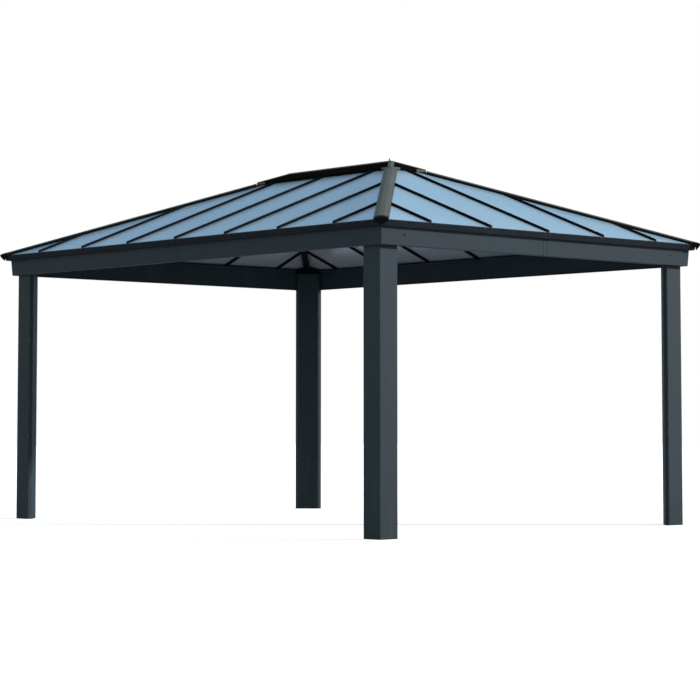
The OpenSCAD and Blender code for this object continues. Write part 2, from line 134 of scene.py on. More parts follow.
@dataclass
class Shell:
    """Closed surfaces gathered into one mesh."""

    points: list[np.ndarray] = field(default_factory=list)
    faces: list[list[int]] = field(default_factory=list)
    marks: list[np.ndarray] = field(default_factory=list)
    count: int = 0

    def skin(self, rings: np.ndarray, marks: np.ndarray | None = None) -> None:
        """Covers rings of points with quads and closes both ends.

        Faces are turned outwards: the volume, a sixth of the sum of a.(b x c) over the
        surface's triangles, has to be positive.

        Args:
            rings: Points, as (rings, points in a ring, 3).
            marks: Edge mark of each point in a ring.
        """
        m, n, _ = rings.shape
        flat = rings.reshape(-1, 3)
        low = np.arange(m - 1)[:, None] * n
        here = np.arange(n)[None, :]
        ahead = (here + 1) % n
        quads = np.stack([low + here, low + ahead, low + n + ahead, low + n + here], -1).reshape(-1, 4)
        caps = [np.arange(n)[::-1], (m - 1) * n + np.arange(n)]
        fans = [np.stack([np.repeat(c[0], n - 2), c[1:-1], c[2:]], -1) for c in caps]
        tris = np.concatenate([quads[:, [0, 1, 2]], quads[:, [0, 2, 3]], *fans])
        a, b, c = (flat[tris[:, k]] - flat[0] for k in range(3))
        if np.einsum("ij,ij->", a, np.cross(b, c)) < 0:
            quads = quads[:, ::-1]
            caps = [c[::-1] for c in caps]
        self.points.append(flat)
        self.faces += (quads + self.count).tolist() + [(c + self.count).tolist() for c in caps]
        mark = np.zeros(n) if marks is None else marks
        self.marks.append(np.tile(mark, m))
        self.count += m * n

    def copies(self, rings: np.ndarray, places: np.ndarray, marks: np.ndarray | None = None) -> None:
        """Adds one shell for each place.

        Args:
            rings: Points of one shell, as (rings, points, 3).
            places: Frames as (places, 4, 3): right, ahead, up and origin.
            marks: Edge mark of each point in a ring.
        """
        turned = np.einsum("mnk,pkj->pmnj", rings, places[:, :3]) + places[:, None, None, 3]
        for one in turned:
            self.skin(one, marks)

    def piece(self, name: str, finish: "bpy.types.Material", slot: Slot, smooth: bool = True) -> bpy.types.Object:
        """Makes the piece and lets it ride on the frame.

        Args:
            name: Name of the piece.
            finish: Its material.
            slot: The record's slot for the piece; not used.
            smooth: True for surfaces that are lit as rounded.

        Returns:
            The new object.
        """
        mesh = bpy.data.meshes.new(name)
        mesh.from_pydata(np.concatenate(self.points).tolist(), [], self.faces)
        mark = mesh.attributes.new(EDGE_MARK, "FLOAT", "POINT")
        mark.data.foreach_set("value", np.concatenate(self.marks).astype(np.float32))
        mesh.materials.append(finish)
        mesh.polygons.foreach_set("use_smooth", np.full(len(mesh.polygons), smooth))
        mesh.set_sharp_from_angle(angle=math.radians(38.0))
        mesh.update()
        obj = bpy.data.objects.new(name, mesh)
        bpy.context.scene.collection.objects.link(obj)
        if smooth:
            even = obj.modifiers.new("even_light", "WEIGHTED_NORMAL")
            even.keep_sharp = True
        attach(obj, BODY)
        LOG.info("%s: %d points, %d faces", name, self.count, len(self.faces))
        return obj


def dome_rings(radius: float, height: float, points: int = 10) -> np.ndarray:
    """Screw head on its back: a short rim under a dome, with a dimple in the middle.

    Args:
        radius: Radius of the head.
        height: Height of the head.
        points: Points round the head.

    Returns:
        Points as (rings, points, 3), with the up axis last.
    """
    r = radius * np.array([1.0, 1.0, 0.86, 0.55, 0.34, 0.30])
    z = height * np.array([0.0, 0.42, 0.80, 1.0, 1.0, 0.62])
    turn = np.linspace(0.0, 2 * np.pi, points, endpoint=False)
    grid = np.stack(np.broadcast_arrays(r[:, None] * np.cos(turn), r[:, None] * np.sin(turn), z[:, None]), -1)
    return grid


# ---------- sizes that the parts share ----------


@dataclass(frozen=True)
class Roof:
    """Sizes of the roof and of what hangs from it, in metres."""

    half_len: float = 2.430
    half_wid: float = 1.776
    eave_h: float = 2.306
    pitch: float = math.radians(21.0)
    bay: float = 0.6375
    corner_bay: float = 0.380
    pane_t: float = 0.008
    trim_w: float = 0.042
    trim_reach: float = 0.009
    header_drop: float = 0.179
    header_lean: float = 0.012
    t_long: float = 0.042
    t_short: float = 0.062
    cap_w: float = 0.108
    vent_reach: float = 0.202
    corner_t: float = 0.002
    cap_clear: float = 0.0005

    @property
    def rise(self) -> float:
        """Rise of a slope for each metre in from the eave."""
        return math.tan(self.pitch)

    @property
    def batten_top(self) -> float:
        """Upper end of the battens, in from the eave line."""
        return self.half_wid - self.vent_reach - self.corner_t - self.cap_clear

    @property
    def header_u(self) -> float:
        """Distance in from the eave line to the header's outer face."""
        return self.trim_w - self.trim_reach

    @property
    def header_z(self) -> float:
        """Height of the underside of the headers."""
        return self.eave_h - self.header_drop

    def plane_z(self, u: np.ndarray | float) -> np.ndarray | float:
        """Height of the roof plane at u in from the eave line."""
        return self.eave_h + self.rise * u

    def upright(self, size: np.ndarray | float) -> np.ndarray | float:
        """Upright measure of a thickness square to the slope."""
        return size / math.cos(self.pitch)

    def header_top(self, u: float) -> float:
        """Height of the header's top at u in from the eave line."""
        return self.plane_z(u) - self.upright(self.pane_t)

    def header_t(self, side: Side) -> float:
        """Thickness of the header on a side."""
        return self.t_long if side.value % 2 == 0 else self.t_short

    def side_half(self, side: Side) -> float:
        """Half length of the eave on a side."""
        return self.half_len if side.value % 2 == 0 else self.half_wid

    def side_run(self, side: Side) -> float:
        """Distance from the eave to the middle of the roof on a side."""
        return self.half_wid if side.value % 2 == 0 else self.half_len

    def bays(self, side: Side) -> np.ndarray:
        """Places of the rafters along a side's eave."""
        n = int((self.side_half(side) - self.corner_bay) // self.bay)
        return np.arange(-n, n + 1) * self.bay

    def on_side(self, side: Side, x: np.ndarray, u: np.ndarray, z: np.ndarray) -> np.ndarray:
        """Places points given along the eave, in from it and up.

        The side's frame is turned about Z by a quarter turn for each side from the front.

        Args:
            side: The side.
            x: Distance along the eave from its middle.
            u: Distance in from the eave line.
            z: Height.

        Returns:
            Points as (..., 3).
        """
        c, s = [(1, 0), (0, 1), (-1, 0), (0, -1)][side.value]
        x, y, z = np.broadcast_arrays(x, u - self.side_run(side), z)
        return np.stack([c * x - s * y, s * x + c * y, z], -1)

    def on_corner(self, corner: Corner, a: np.ndarray, b: np.ndarray, z: np.ndarray) -> np.ndarray:
        """Places points given in from the eave corner along both eaves.

        Args:
            corner: The corner.
            a: Distance in along X.
            b: Distance in along Y.
            z: Height.

        Returns:
            Points as (..., 3).
        """
        sx, sy = corner.value
        a, b, z = np.broadcast_arrays(a, b, z)
        return np.stack([sx * (self.half_len - a), sy * (self.half_wid - b), z], -1)

    def on_hip(self, corner: Corner, d: np.ndarray, across: np.ndarray, up: np.ndarray) -> np.ndarray:
        """Places points given along a hip line, across it and square to it.

        The hip leans by atan(rise / sqrt 2) and runs in plan at 45 degrees from the corner.

        Args:
            corner: The corner where the hip starts.
            d: Distance along the hip in plan.
            across: Distance to the side.
            up: Distance above the hip line, square to it.

        Returns:
            Points as (..., 3).
        """
        lean = math.atan(self.rise / DIAG)
        d, across, up = np.broadcast_arrays(d, across, up)
        plan = d - up * math.sin(lean)
        z = self.eave_h + d * math.tan(lean) + up * math.cos(lean)
        return self.on_corner(corner, (plan - across) / DIAG, (plan + across) / DIAG, z)


ROOF = Roof()


# ---------- finishes ----------


class Wiring:
    """Short way to lay out shader nodes in one tree."""

    def __init__(self, tree: bpy.types.NodeTree) -> None:
        """Starts with an empty tree."""
        self.tree = tree
        tree.nodes.clear()

    def node(self, kind: str, links: dict[str | int, object] | None = None, **settings: object) -> bpy.types.Node:
        """Adds a node.

        Args:
            kind: Node type without the ShaderNode prefix.
            links: Value or output socket for each input, by name or place.
            settings: Properties of the node.

        Returns:
            The node.
        """
        made = self.tree.nodes.new(kind if kind.startswith("NodeGroup") else "ShaderNode" + kind)
        for key, value in settings.items():
            setattr(made, key, value)
        for key, value in (links or {}).items():
            if isinstance(value, bpy.types.NodeSocket):
                self.tree.links.new(value, made.inputs[key])
            else:
                made.inputs[key].default_value = value
        return made

    def maths(self, operation: str, a: object, b: object = 0.0, clamp: bool = False) -> bpy.types.NodeSocket:
        """Adds a Math node and returns its output."""
        return self.node("Math", {0: a, 1: b}, operation=operation, use_clamp=clamp).outputs[0]

    def span(
        self, value: object, low: float, high: float, to_low: float = 0.0, to_high: float = 1.0
    ) -> bpy.types.NodeSocket:
        """Maps a value smoothly from one span to another."""
        links = {"Value": value, 1: low, 2: high, 3: to_low, 4: to_high}
        return self.node("MapRange", links, interpolation_type="SMOOTHSTEP").outputs[0]

    def noise(self, place: object, scale: float, detail: float = 2.0) -> bpy.types.NodeSocket:
        """Adds a noise texture and returns its value."""
        return self.node("TexNoise", {"Vector": place, "Scale": scale, "Detail": detail}).outputs[0]

    def mix(self, amount: object, a: object, b: object, blend: str = "MIX") -> bpy.types.NodeSocket:
        """Mixes two colours and returns the result."""
        made = self.node("Mix", {0: amount, 6: a, 7: b}, data_type="RGBA", blend_type=blend)
        return made.outputs[2]

    def stretched(self, place: object, scale: tuple[float, float, float]) -> bpy.types.NodeSocket:
        """Scales a place along its axes."""
        return self.node("Mapping", {"Vector": place, "Scale": scale}).outputs[0]


def open_group(
    name: str, inputs: dict[str, object], outputs: dict[str, str]
) -> tuple[Wiring, dict, dict, bpy.types.NodeTree]:
    """Makes a node group with named sockets.

    Args:
        name: Name of the group.
        inputs: Default value of each input, a number or a colour.
        outputs: Socket type of each output.

    Returns:
        Its wiring, the sockets that give its inputs, the sockets that take its outputs, and the tree.
    """
    tree = bpy.data.node_groups.new(name, "ShaderNodeTree")
    wiring = Wiring(tree)
    for key, value in inputs.items():
        kind = "NodeSocketFloat" if isinstance(value, float) else "NodeSocketColor"
        tree.interface.new_socket(key, in_out="INPUT", socket_type=kind).default_value = value
    for key, kind in outputs.items():
        tree.interface.new_socket(key, in_out="OUTPUT", socket_type=kind)
    given = wiring.node("NodeGroupInput").outputs
    taken = wiring.node("NodeGroupOutput").inputs
    return wiring, given, taken, tree


def settled_dust() -> bpy.types.NodeTree:
    """Builds the dust that lies on faces that look up and gathers in patches.

    Returns:
        A group that puts out a mask.
    """
    w, given, taken, tree = open_group("settled_dust", {"Amount": 0.5}, {"Mask": "NodeSocketFloat"})
    coords = w.node("TexCoord")
    up = w.node("SeparateXYZ", {0: coords.outputs["Normal"]}).outputs[2]
    facing = w.span(up, 0.25, 0.95)
    patches = w.span(w.noise(coords.outputs["Object"], 7.0, 5.0), 0.35, 0.75, 0.25, 1.0)
    specks = w.span(w.noise(coords.outputs["Object"], 260.0, 2.0), 0.45, 0.7, 0.7, 1.0)
    lying = w.maths("MULTIPLY", w.maths("MULTIPLY", facing, patches), specks)
    w.tree.links.new(w.maths("MULTIPLY", lying, given["Amount"], True), taken["Mask"])
    return tree


def rain_streaks() -> bpy.types.NodeTree:
    """Builds the faint dried runs that rain leaves down a surface.

    Returns:
        A group that puts out a mask.
    """
    w, given, taken, tree = open_group("rain_streaks", {"Amount": 0.5}, {"Mask": "NodeSocketFloat"})
    place = w.node("TexCoord").outputs["Object"]
    runs = w.span(w.noise(w.stretched(place, (34.0, 34.0, 1.3)), 1.0, 3.0), 0.52, 0.78)
    broken = w.span(w.noise(place, 2.4, 3.0), 0.35, 0.65)
    w.tree.links.new(w.maths("MULTIPLY", w.maths("MULTIPLY", runs, broken), given["Amount"], True), taken["Mask"])
    return tree


def coat_grain() -> bpy.types.NodeTree:
    """Builds the fine dimples and the broad unevenness of a baked powder coat.

    Returns:
        A group that puts out the height, a broad shade and the worn edges.
    """
    outputs = {"Height": "NodeSocketFloat", "Shade": "NodeSocketFloat", "Worn": "NodeSocketFloat"}
    w, given, taken, tree = open_group("coat_grain", {"Scale": 620.0, "Wear": 0.4}, outputs)
    place = w.node("TexCoord").outputs["Object"]
    dimples = w.node("TexNoise", {"Vector": place, "Scale": given["Scale"], "Detail": 2.0}).outputs[0]
    shade = w.span(w.noise(place, 1.6, 4.0), 0.3, 0.7)
    edge = w.node("Attribute", attribute_name=EDGE_MARK).outputs["Fac"]
    chips = w.span(w.noise(place, 46.0, 5.0), 0.50, 0.72)
    worn = w.maths("MULTIPLY", w.maths("MULTIPLY", edge, chips), given["Wear"], True)
    w.tree.links.new(dimples, taken["Height"])
    w.tree.links.new(shade, taken["Shade"])
    w.tree.links.new(worn, taken["Worn"])
    return tree


@dataclass(frozen=True)
class Effects:
    """The node groups that more than one finish uses."""

    dust: bpy.types.NodeTree
    streaks: bpy.types.NodeTree
    grain: bpy.types.NodeTree

    @staticmethod
    def build() -> "Effects":
        """Builds every group once."""
        return Effects(settled_dust(), rain_streaks(), coat_grain())


def principled(name: str, constants: dict[str, object]) -> tuple[bpy.types.Material, Wiring, bpy.types.Node]:
    """Starts a material with its shader.

    Args:
        name: Name of the material.
        constants: Values set on the shader's own sockets.

    Returns:
        The material, its wiring and the shader.
    """
    material = bpy.data.materials.new(name)
    material.use_nodes = True
    w = Wiring(material.node_tree)
    shader = w.node("BsdfPrincipled", constants)
    out = w.node("OutputMaterial")
    w.tree.links.new(shader.outputs[0], out.inputs[0])
    return material, w, shader


RGBA = tuple[float, float, float, float]


@dataclass(frozen=True)
class PowderCoat:
    """Baked paint on aluminium or steel."""

    name: str
    colour: RGBA
    pale: RGBA
    rough: float = 0.5
    gloss: float = 0.12
    dust: float = 0.35
    streaks: float = 0.35
    wear: float = 0.4
    grain: float = 620.0
    bump: float = 0.00012
    bare: RGBA = (0.20, 0.21, 0.21, 1.0)
    soil: RGBA = (0.16, 0.15, 0.13, 1.0)

    def make(self, effects: Effects) -> bpy.types.Material:
        """Builds the material.

        Args:
            effects: The shared node groups.

        Returns:
            The material.
        """
        material, w, shader = principled(self.name, {"Specular IOR Level": self.gloss})
        grain = w.node("Group", node_tree=effects.grain)
        grain.inputs["Scale"].default_value = self.grain
        grain.inputs["Wear"].default_value = self.wear
        dust = w.node("Group", node_tree=effects.dust)
        dust.inputs["Amount"].default_value = self.dust
        runs = w.node("Group", node_tree=effects.streaks)
        runs.inputs["Amount"].default_value = self.streaks
        body = w.mix(grain.outputs["Shade"], self.colour, self.pale)
        body = w.mix(w.maths("MULTIPLY", runs.outputs["Mask"], 0.22), body, self.soil)
        body = w.mix(w.maths("MULTIPLY", dust.outputs["Mask"], 0.6), body, self.soil)
        body = w.mix(grain.outputs["Worn"], body, self.bare)
        dull = w.maths("MULTIPLY_ADD", dust.outputs["Mask"], 0.3)
        dull.node.inputs[2].default_value = self.rough
        rough = w.maths("ADD", dull, w.maths("MULTIPLY", grain.outputs["Shade"], 0.1), True)
        bump = w.node("Bump", {"Strength": 0.6, "Distance": self.bump, "Height": grain.outputs["Height"]})
        w.tree.links.new(body, shader.inputs["Base Color"])
        w.tree.links.new(rough, shader.inputs["Roughness"])
        w.tree.links.new(bump.outputs[0], shader.inputs["Normal"])
        return material


@dataclass(frozen=True)
class TwinWall:
    """Twin-wall sheet: clear skins over fine flutes, with a painted sky reflection on its upper face and painted shade
    on its underside.
    """

    name: str
    axis: FluteAxis
    # The upper tints are a painted sky reflection; under is painted shade, the same sheet seen from below.
    top: RGBA = (0.30, 0.45, 0.52, 1.0)
    sky_reflection_pale: RGBA = (0.35, 0.51, 0.57, 1.0)
    under: RGBA = (0.26, 0.28, 0.285, 1.0)
    flute: float = 0.0105
    rough: float = 0.16
    dust: float = 0.12
    haze: RGBA = (0.42, 0.44, 0.44, 1.0)

    def make(self, effects: Effects) -> bpy.types.Material:
        """Builds the material.

        Args:
            effects: The shared node groups.

        Returns:
            The material.
        """
        material, w, shader = principled(self.name, {"Specular IOR Level": 0.4, "IOR": 1.5})
        coords = w.node("TexCoord")
        place = w.node("SeparateXYZ", {0: coords.outputs["Object"]})
        across = place.outputs[self.axis.value]
        phase = w.maths("FRACT", w.maths("DIVIDE", across, self.flute))
        web = w.maths("ABSOLUTE", w.maths("SUBTRACT", phase, 0.5))
        line = w.span(web, 0.36, 0.5)
        up = w.node("SeparateXYZ", {0: coords.outputs["Normal"]}).outputs[2]
        shade = w.span(w.noise(coords.outputs["Object"], 1.1, 3.0), 0.35, 0.65)
        # The painted sky reflection is paler within 0.16 m above the eave and in broad noise patches.
        eave = w.span(place.outputs[2], ROOF.eave_h, ROOF.eave_h + 0.16, 0.55, 0.0)
        top = w.mix(w.maths("ADD", w.maths("MULTIPLY", shade, 0.35), eave, True), self.top, self.sky_reflection_pale)
        top = w.mix(w.maths("MULTIPLY", line, 0.22), top, self.under)
        under = w.mix(w.maths("MULTIPLY", line, 0.4), self.under, (0.10, 0.105, 0.11, 1.0))
        # Faces that look up get the painted sky reflection, faces that look down the painted shade.
        body = w.mix(w.span(up, -0.1, 0.1), under, top)
        dust = w.node("Group", node_tree=effects.dust)
        dust.inputs["Amount"].default_value = self.dust
        runs = w.node("Group", node_tree=effects.streaks)
        runs.inputs["Amount"].default_value = 0.5
        body = w.mix(w.maths("MULTIPLY", dust.outputs["Mask"], 0.5), body, self.haze)
        body = w.mix(w.maths("MULTIPLY", runs.outputs["Mask"], 0.12), body, self.haze)
        dull = w.maths("MULTIPLY_ADD", dust.outputs["Mask"], 0.5)
        dull.node.inputs[2].default_value = self.rough
        bump = w.node("Bump", {"Strength": 0.5, "Distance": 0.0004, "Height": line})
        w.tree.links.new(body, shader.inputs["Base Color"])
        w.tree.links.new(dull, shader.inputs["Roughness"])
        w.tree.links.new(bump.outputs[0], shader.inputs["Normal"])
        return material


@dataclass(frozen=True)
class Finishes:
    """One material for each kind of surface."""

    frame: bpy.types.Material
    trim: bpy.types.Material
    dark: bpy.types.Material
    cap: bpy.types.Material
    nose: bpy.types.Material
    vent: bpy.types.Material
    screw: bpy.types.Material
    pane_x: bpy.types.Material
    pane_y: bpy.types.Material

    @staticmethod
    def build() -> "Finishes":
        """Builds every material once."""
        fx = Effects.build()
        return Finishes(
            frame=PowderCoat(
                "frame_paint",
                (0.019, 0.031, 0.034, 1),
                (0.024, 0.036, 0.041, 1),
            ).make(fx),
            trim=PowderCoat(
                "trim_paint",
                (0.008, 0.0105, 0.014, 1),
                (0.011, 0.014, 0.018, 1),
                rough=0.5, gloss=0.08,
            ).make(fx),
            dark=PowderCoat(
                "dark_fittings",
                (0.004, 0.005, 0.007, 1),
                (0.006, 0.007, 0.009, 1),
                gloss=0.02, dust=0.02, streaks=0.0, wear=0.0,
            ).make(fx),
            cap=PowderCoat(
                "cap_metal",
                (0.082, 0.085, 0.065, 1),
                (0.106, 0.108, 0.081, 1),
                rough=0.55, dust=0.4,
            ).make(fx),
            nose=PowderCoat(
                "nose_plastic",
                (0.004, 0.004, 0.005, 1),
                (0.006, 0.006, 0.007, 1),
                gloss=0.06, dust=0.03, streaks=0.0, wear=0.0, grain=900.0,
            ).make(fx),
            vent=PowderCoat(
                "vent_paint",
                (0.004, 0.0035, 0.003, 1),
                (0.006, 0.005, 0.0045, 1),
                gloss=0.0, dust=0.03, streaks=0.05, wear=0.1,
            ).make(fx),
            screw=PowderCoat(
                "screw_heads",
                (0.010, 0.012, 0.014, 1),
                (0.016, 0.018, 0.020, 1),
                rough=0.35, wear=0.0,
            ).make(fx),
            pane_x=TwinWall("pane_across_x", FluteAxis.ACROSS_X).make(fx),
            pane_y=TwinWall("pane_across_y", FluteAxis.ACROSS_Y).make(fx),
        )


# ---------- sub-assemblies ----------


@dataclass
class Posts:
    """Four five-sided posts with eased edges."""

    width: float = 0.178
    narrow: float = 0.040
    ease: float = 0.007

    def build(self, finishes: Finishes) -> None:
        """Builds one closed tube for each corner.

        Args:
            finishes: The materials.
        """
        w, n = self.width, self.narrow
        outline, mark = eased([(0, 0), (w, 0), (w, n), (n, w), (0, w)], self.ease, 5)
        a = outline[:, 0] + ROOF.header_u + ROOF.t_short
        b = outline[:, 1] + ROOF.header_u + ROOF.t_long
        for corner in Corner:
            node = "post_" + corner.name.lower()
            z = np.array([0.0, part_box(node)[1].z])[:, None]
            shell = Shell()
            shell.skin(ROOF.on_corner(corner, a[None], b[None], z), mark)
            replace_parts(shell.piece(node + "_tube", finishes.frame, Slot.FRAME), node)


@dataclass
class Headers:
    """Hollow headers with a ledge for the rafter feet, a bead, and a collar at each splice."""

    gap: float = 0.042
    collar: float = 0.036
    wall: float = 0.003
    tongue: float = 0.120
    ledge_w: float = 0.025
    ledge_t: float = 0.003
    bead: float = 0.008
    post_w: float = 0.178
    rafter_h: float = 0.022

    def outline(self, side: Side) -> list[tuple[float, float]]:
        """Outline of a header, in from the eave line and up."""
        inner = ROOF.header_u + ROOF.header_t(side)
        return [
            (ROOF.header_u, ROOF.header_top(ROOF.header_u)),
            (ROOF.header_u + ROOF.header_lean, ROOF.header_z),
            (inner, ROOF.header_z),
            (inner, ROOF.header_top(inner)),
        ]

    def run(
        self, shell: Shell, side: Side, outline: list, starts: float, ends: np.ndarray | float, ease: float
    ) -> None:
        """Carries an outline along both halves of a side.

        Args:
            shell: Where the surfaces go.
            side: The side.
            outline: Outline in (u, z).
            starts: Distance from the middle of the side where the run starts.
            ends: Distance where it ends, or a function of u.
            ease: Radius of the corners.
        """
        points, mark = eased(outline, ease)
        u, z = points[:, 0], points[:, 1]
        end = ends(u) if callable(ends) else np.full(len(u), ends)
        x = np.stack([np.full(len(u), starts), end])
        for way in (-1.0, 1.0):
            shell.skin(ROOF.on_side(side, way * x, u[None], z[None]), mark)

    def mitre(self, side: Side) -> object:
        """End of a header as a function of u: a mitre that breaks at the foot of its lean."""
        half = ROOF.side_half(side) - ROOF.header_u
        other = Side((side.value + 1) % 4)
        u = [ROOF.header_u, ROOF.header_u + ROOF.header_lean, ROOF.header_u + ROOF.header_t(side)]
        x = [half, half - ROOF.header_lean, half - ROOF.header_t(other)]
        return lambda at: np.interp(at, u, x)

    def build(self, finishes: Finishes) -> None:
        """Builds the headers and their collars.

        Args:
            finishes: The materials.
        """
        collars = Shell()
        for side in Side:
            node = "header_" + side.name.lower()
            inner = ROOF.header_u + ROOF.header_t(side)
            other = Side((side.value + 1) % 4)
            stop = ROOF.side_half(side) - ROOF.header_u - ROOF.header_t(other) - self.post_w - 0.001
            under = ROOF.upright(ROOF.pane_t + self.rafter_h)
            seat = inner + self.ledge_w
            shell = Shell()
            self.run(shell, side, self.outline(side), self.gap / 2, self.mitre(side), 0.004)
            ledge = [
                (inner - 0.001, ROOF.plane_z(inner) - under),
                (seat, ROOF.plane_z(seat) - under),
                (seat, ROOF.plane_z(seat) - under - self.ledge_t),
                (inner - 0.001, ROOF.plane_z(inner) - under - self.ledge_t),
            ]
            self.run(shell, side, ledge, self.gap / 2, stop, 0.001)
            low = ROOF.header_z
            bead = [
                (inner - 0.001, low),
                (inner + self.bead, low),
                (inner + self.bead, low + self.bead / 2),
                (inner, low + self.bead),
                (inner - 0.001, low + self.bead),
            ]
            self.run(shell, side, bead, self.gap / 2, stop, 0.002)
            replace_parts(shell.piece(node + "_box", finishes.frame, Slot.FRAME), node)
            points, mark = eased(self.outline(side), 0.003)
            x = np.array([-self.collar / 2, self.collar / 2])[:, None]
            collars.skin(ROOF.on_side(side, x, points[None, :, 0], points[None, :, 1]), mark)
            lean_u = ROOF.header_u + ROOF.header_lean
            w = self.wall
            top = ROOF.header_top(ROOF.header_u)
            core = [(lean_u + w, low + w), (inner - w, low + w), (inner - w, top - w), (lean_u + w, top - w)]
            points, mark = eased(core, 0.001)
            x = np.array([-1.0, 1.0])[:, None] * (self.gap / 2 + self.tongue)
            collars.skin(ROOF.on_side(side, x, points[None, :, 0], points[None, :, 1]), mark)
        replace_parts(collars.piece("header_collars", finishes.frame, Slot.FRAME), "header_splices")


@dataclass
class EaveTrims:
    """Leaning trim along each eave, mitred at the corners."""

    drop: float = 0.047
    lean: float = 0.014
    lip: float = 0.005

    def build(self, finishes: Finishes) -> None:
        """Builds one trim for each side.

        Args:
            finishes: The materials.
        """
        out = -ROOF.trim_reach
        low = ROOF.eave_h - self.drop
        top_face = ROOF.header_top(ROOF.header_u)
        face = ROOF.header_u + ROOF.header_lean * (top_face - low) / (top_face - ROOF.header_z)
        outline = [
            (out, ROOF.plane_z(out)),
            (out + 0.0015, ROOF.plane_z(out) - 0.008),
            (out + 0.0045, ROOF.plane_z(out) - 0.010),
            (self.lean + out, low),
            (face, low),
            (ROOF.header_u, top_face),
            (self.lip, ROOF.header_top(self.lip)),
            (self.lip, ROOF.plane_z(self.lip)),
        ]
        points, mark = eased(outline, 0.002)
        u, z = points[None, :, 0], points[None, :, 1]
        for side in Side:
            node = "eave_trim_" + side.name.lower()
            x = np.array([-1.0, 1.0])[:, None] * (ROOF.side_half(side) - u)
            shell = Shell()
            shell.skin(ROOF.on_side(side, x, u, z), mark)
            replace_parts(shell.piece(node + "_fold", finishes.trim, Slot.TRIM), node)


@dataclass
class SlopeBars:
    """Rafters below the panes, battens and gaskets above them."""

    rafter_w: float = 0.020
    rafter_h: float = 0.022
    batten_w: float = 0.028
    batten_h: float = 0.017
    gasket_w: float = 0.0045
    gasket_h: float = 0.0028
    hip_rafter_w: float = 0.052
    ridge_w: float = 0.060
    pane_edge: float = 0.006
    screw_step: float = 0.34
    screw_low: float = 0.07
    screw_top: float = 0.24
    screw_hip: float = 0.03

    def bar(
        self,
        shell: Shell,
        side: Side,
        at: float,
        outline: list,
        ease: float,
        start: float,
        stop: float,
        clear: float,
    ) -> None:
        """Carries an outline up a slope.

        Each point ends where it meets either the top line or the line beside the hip,
        so the bar's end is cut to the hip.

        Args:
            shell: Where the surface goes.
            side: The slope's side.
            at: Place along the eave.
            outline: Outline as (across, above the roof plane).
            ease: Radius of the corners.
            start: Lower end, in from the eave line.
            stop: Upper end.
            clear: Distance kept from the hip line.
        """
        points, mark = eased(outline, ease, 3)
        x = at + points[:, 0]
        end = np.minimum(stop, ROOF.side_half(side) - clear * DIAG - np.abs(x))
        u = np.stack([np.full(len(x), start), end])
        z = ROOF.plane_z(u) + ROOF.upright(points[None, :, 1])
        shell.skin(ROOF.on_side(side, x[None], u, z), mark)

    def screws(self, side: Side, clear: float) -> np.ndarray:
        """Places of the screws on the battens of a slope.

        Args:
            side: The slope's side.
            clear: Distance kept from the hip line.

        Returns:
            Frames as (screws, 4, 3).
        """
        rows = np.arange(self.screw_low, ROOF.half_wid - self.screw_top, self.screw_step)
        x, u = np.meshgrid(ROOF.bays(side), rows)
        x, u = x.ravel(), u.ravel()
        keep = u < ROOF.side_half(side) - clear * DIAG - np.abs(x) - self.screw_hip
        x, u = x[keep], u[keep]
        up = self.batten_h
        lean = ROOF.pitch
        spot = ROOF.on_side(side, x, u - up * math.sin(lean), ROOF.plane_z(u) + up * math.cos(lean))
        base = ROOF.on_side(side, 0.0, 0.0, 0.0)
        right = ROOF.on_side(side, 1.0, 0.0, 0.0) - base
        ahead = ROOF.on_side(side, 0.0, math.cos(lean), math.sin(lean)) - base
        above = np.cross(right, ahead)
        fixed = np.stack([right, ahead, above])[None].repeat(len(x), 0)
        return np.concatenate([fixed, spot[:, None]], 1)

    def build(self, finishes: Finishes) -> None:
        """Builds the bars of every slope.

        Args:
            finishes: The materials.
        """
        r, h = self.rafter_w / 2, self.rafter_h
        top = -ROOF.pane_t
        step = 0.0018
        rafter = [
            (-r, top), (-r, top - 0.010), (step - r, top - 0.012), (step - r, top - 0.016), (-r, top - 0.018),
            (-r, top - h), (r, top - h),
            (r, top - 0.018), (r - step, top - 0.016), (r - step, top - 0.012), (r, top - 0.010), (r, top),
        ]
        b, t = self.batten_w / 2, self.batten_h
        batten = [
            (b, 0.0), (b, 0.55 * t), (0.72 * b, t), (0.2 * b, t), (0.12 * b, t - 0.001),
            (-0.12 * b, t - 0.001), (-0.2 * b, t), (-0.72 * b, t), (-b, 0.55 * t), (-b, 0.0),
        ]
        lip = [(0.0, 0.0), (self.gasket_w, 0.0), (self.gasket_w * 0.8, 0.4 * self.gasket_h), (0.0, self.gasket_h)]
        clear = ROOF.cap_w / 2 + ROOF.cap_clear
        for side in Side:
            tag = side.name.lower()
            low = ROOF.header_u + ROOF.header_t(side)
            rafters, battens, gaskets, heads = Shell(), Shell(), Shell(), Shell()
            for at in ROOF.bays(side):
                self.bar(rafters, side, at, rafter, 0.002, low, ROOF.half_wid - self.ridge_w / 2, self.hip_rafter_w / 2)
                self.bar(battens, side, at, batten, 0.002, self.pane_edge, ROOF.batten_top, clear)
                for way in (-1.0, 1.0):
                    edge = [(way * (b + p), q) for p, q in lip]
                    self.bar(gaskets, side, at, edge, 0.0006, self.pane_edge + 0.004, ROOF.batten_top, clear)
            heads.copies(dome_rings(0.0055, 0.0032), self.screws(side, clear))
            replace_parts(rafters.piece("rafters_" + tag + "_bars", finishes.dark, Slot.DARK), "rafters_" + tag)
            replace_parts(battens.piece("battens_" + tag + "_strips", finishes.dark, Slot.DARK), "battens_" + tag)
            gaskets.piece("gaskets_" + tag, finishes.nose, Slot.NOSE)
            heads.piece("batten_screws_" + tag, finishes.screw, Slot.DARK)


